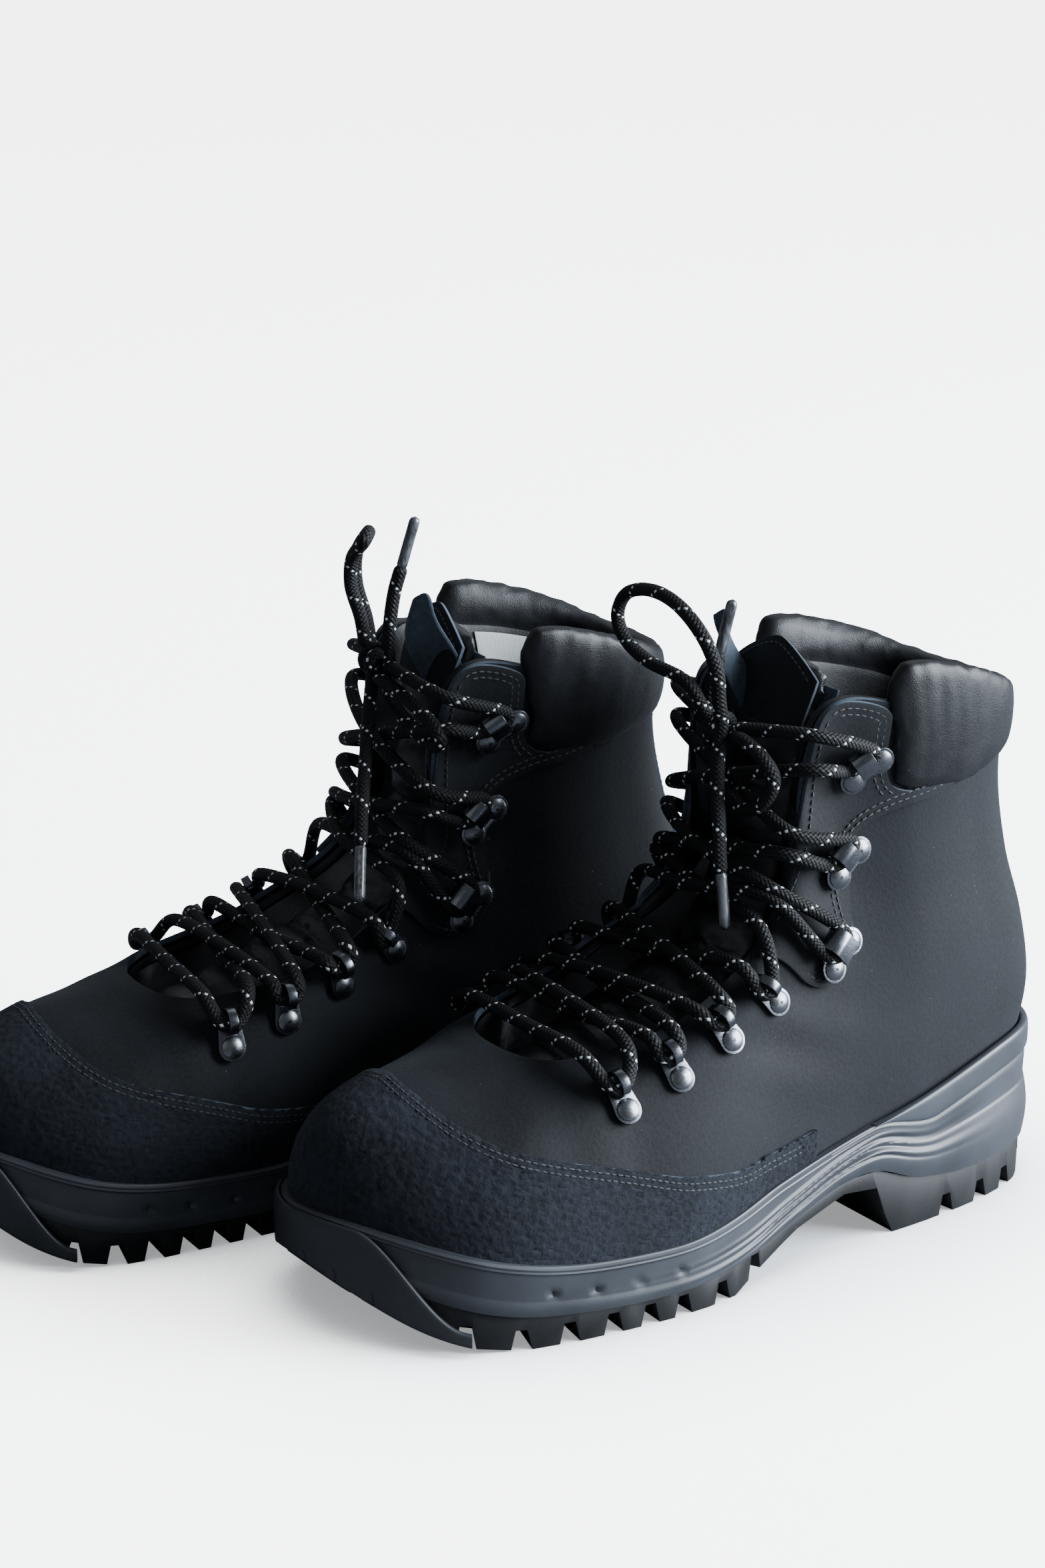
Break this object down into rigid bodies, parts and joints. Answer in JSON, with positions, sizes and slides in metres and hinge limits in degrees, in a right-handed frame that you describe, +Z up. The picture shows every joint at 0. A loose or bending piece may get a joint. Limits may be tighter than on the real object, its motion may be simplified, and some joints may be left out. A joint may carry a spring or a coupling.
{
  "type": "mountaineering boots",
  "caption": "Pair of stiff mid-height leather mountaineering boots with lugged soles, padded collars and tongues, and laces through metal loops and hooks.",
  "frame": {"origin": "middle of the pair on the ground: centre of the underside of the box round both boots, without the free lace ends", "axes": "+Z up; -Y the way the toes point; the left boot is at +X and stands further back"},
  "size_m": [0.2486, 0.3903, 0.2515],
  "materials": {
    "sole_rubber": "matte moulded rubber",
    "midsole": "satin moulded foam rubber with fine ribs",
    "heel_cup": "satin moulded plastic",
    "shank_steel": "plain",
    "board": "plain board",
    "footbed": "knitted cover",
    "stiffener": "plain",
    "nubuck": "matte nubuck",
    "rand_leather": "rough suede",
    "collar_leather": "smooth padded leather, semi-gloss",
    "lining": "knitted lining",
    "tongue_leather": "smooth padded leather",
    "gusset": "blue-grey suede",
    "cast_metal": "dark polished casting",
    "rivet_metal": "dark polished",
    "lace": "round braid with light flecks",
    "aglet": "clear grey tip over dark lace",
    "label": "plain woven tape"
  },
  "bodies": {
    "left_boot": {"left_outsole": "sole_rubber", "left_toe_bumper": "sole_rubber", "left_midsole": "midsole", "left_heel_stabiliser": "heel_cup", "left_shank": "shank_steel", "left_lasting_board": "board", "left_toe_puff": "stiffener", "left_heel_counter": "stiffener", "left_upper": "nubuck", "left_rand": "rand_leather", "left_facing_outer": "nubuck", "left_facing_inner": "nubuck", "left_backstay": "nubuck", "left_collar": "collar_leather", "left_lining": "lining", "left_lace_loops": "cast_metal", "left_loop_rivets": "rivet_metal", "left_locking_hooks": "cast_metal", "left_speed_hooks": "cast_metal", "left_hook_rivets": "rivet_metal", "left_lace": "lace", "left_lace_knot": "lace", "left_lace_end_a": "lace", "left_lace_end_b": "lace", "left_aglets": "aglet", "left_size_label": "label"},
    "left_tongue": {"left_tongue": "tongue_leather", "left_tongue_patch": "nubuck", "left_tongue_gusset": "gusset"},
    "left_footbed": {"left_footbed": "footbed"},
    "right_boot": {"right_outsole": "sole_rubber", "right_toe_bumper": "sole_rubber", "right_midsole": "midsole", "right_heel_stabiliser": "heel_cup", "right_shank": "shank_steel", "right_lasting_board": "board", "right_toe_puff": "stiffener", "right_heel_counter": "stiffener", "right_upper": "nubuck", "right_rand": "rand_leather", "right_facing_outer": "nubuck", "right_facing_inner": "nubuck", "right_backstay": "nubuck", "right_collar": "collar_leather", "right_lining": "lining", "right_lace_loops": "cast_metal", "right_loop_rivets": "rivet_metal", "right_locking_hooks": "cast_metal", "right_speed_hooks": "cast_metal", "right_hook_rivets": "rivet_metal", "right_lace": "lace", "right_lace_knot": "lace", "right_lace_end_a": "lace", "right_lace_end_b": "lace", "right_aglets": "aglet", "right_size_label": "label"},
    "right_tongue": {"right_tongue": "tongue_leather", "right_tongue_patch": "nubuck", "right_tongue_gusset": "gusset"},
    "right_footbed": {"right_footbed": "footbed"}
  },
  "joints": [
    {"name": "right_boot_lift", "type": "slide", "parent": "left_boot", "child": "right_boot", "axis": [0, 0, 1], "range_m": [0, 0.3]},
    {"name": "left_tongue_fold", "type": "hinge", "parent": "left_boot", "child": "left_tongue", "pos_m": [0.05955, -0.0212, 0.07], "axis": [-0.9973, -0.0732, 0], "range_deg": [0, 10], "stiffness_Nm_per_rad": 1},
    {"name": "left_footbed_lift", "type": "hinge", "parent": "left_boot", "child": "left_footbed", "pos_m": [0.06213, -0.09722, 0.036], "axis": [0.9973, 0.0732, 0], "range_deg": [0, 7]},
    {"name": "right_tongue_fold", "type": "hinge", "parent": "right_boot", "child": "right_tongue", "pos_m": [-0.05955, -0.1032, 0.07], "axis": [-0.9973, 0.0732, 0], "range_deg": [0, 10], "stiffness_Nm_per_rad": 1},
    {"name": "right_footbed_lift", "type": "hinge", "parent": "right_boot", "child": "right_footbed", "pos_m": [-0.06213, -0.17922, 0.036], "axis": [0.9973, -0.0732, 0], "range_deg": [0, 7]}
  ]
}
